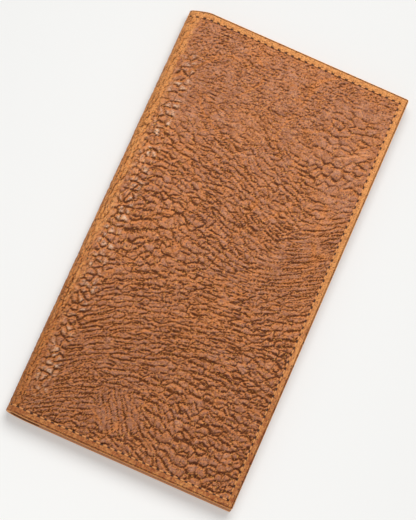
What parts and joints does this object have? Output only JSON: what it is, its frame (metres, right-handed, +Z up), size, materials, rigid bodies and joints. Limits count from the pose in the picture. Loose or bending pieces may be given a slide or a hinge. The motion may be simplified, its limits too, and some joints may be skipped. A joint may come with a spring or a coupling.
{
  "type": "checkbook cover",
  "caption": "Folding pebbled-leather checkbook cover, sewn round its edge, with a check pocket, a register pocket and a clear divider flap",
  "frame": {"origin": "under the middle of the closed cover's outline, on the surface that it lies on", "axes": "+X from the fold to the open edge, +Y along the fold, +Z up through the thickness"},
  "size_m": [0.0886, 0.168, 0.0075],
  "materials": {
    "hide": "pebbled oiled hide, satin, orange-brown in its creases, raw cut edges",
    "lining": "thin smooth tan leather, matte",
    "pocket": "fine-grained brown leather, satin, burnished mouth edge",
    "thread": "waxed tan polyester thread, pulled tight",
    "divider": "clear flexible vinyl sheet"
  },
  "bodies": {
    "back": {"back_cover": "hide", "back_lining": "lining", "check_pocket": "pocket", "back_needle_thread": "thread", "back_bobbin_thread": "thread", "divider_tail": "divider"},
    "divider": {"divider_flap": "divider"},
    "lower_spine": {"lower_spine_hide": "hide", "lower_spine_lining": "lining", "lower_spine_stitches": "thread"},
    "middle_spine": {"middle_spine_hide": "hide", "middle_spine_lining": "lining", "middle_spine_stitches": "thread"},
    "upper_spine": {"upper_spine_hide": "hide", "upper_spine_lining": "lining", "upper_spine_stitches": "thread"},
    "front": {"front_cover": "hide", "front_lining": "lining", "register_pocket": "pocket", "front_needle_thread": "thread", "front_bobbin_thread": "thread"}
  },
  "joints": [
    {"name": "cover_fold", "type": "hinge", "parent": "back", "child": "lower_spine", "pos_m": [-0.04199, 0, 0.00029], "axis": [0, -1, 0], "range_deg": [0, 45]},
    {"name": "lower_crease", "type": "hinge", "parent": "lower_spine", "child": "middle_spine", "pos_m": [-0.04401, 0, 0.00231], "axis": [0, -1, 0], "range_deg": [0, 45]},
    {"name": "upper_crease", "type": "hinge", "parent": "middle_spine", "child": "upper_spine", "pos_m": [-0.04401, 0, 0.00519], "axis": [0, -1, 0], "range_deg": [0, 45]},
    {"name": "front_crease", "type": "hinge", "parent": "upper_spine", "child": "front", "pos_m": [-0.04199, 0, 0.00721], "axis": [0, -1, 0], "range_deg": [0, 45]},
    {"name": "divider_turn", "type": "hinge", "parent": "back", "child": "divider", "pos_m": [-0.03195, 0, 0.00363], "axis": [0, -1, 0], "range_deg": [0, 175.5]}
  ],
  "couplings": [
    {"joint": "lower_crease", "follows": "cover_fold", "ratio": 1},
    {"joint": "upper_crease", "follows": "cover_fold", "ratio": 1},
    {"joint": "front_crease", "follows": "cover_fold", "ratio": 1},
    {"joint": "divider_turn", "follows": "cover_fold", "ratio": 3.9}
  ]
}
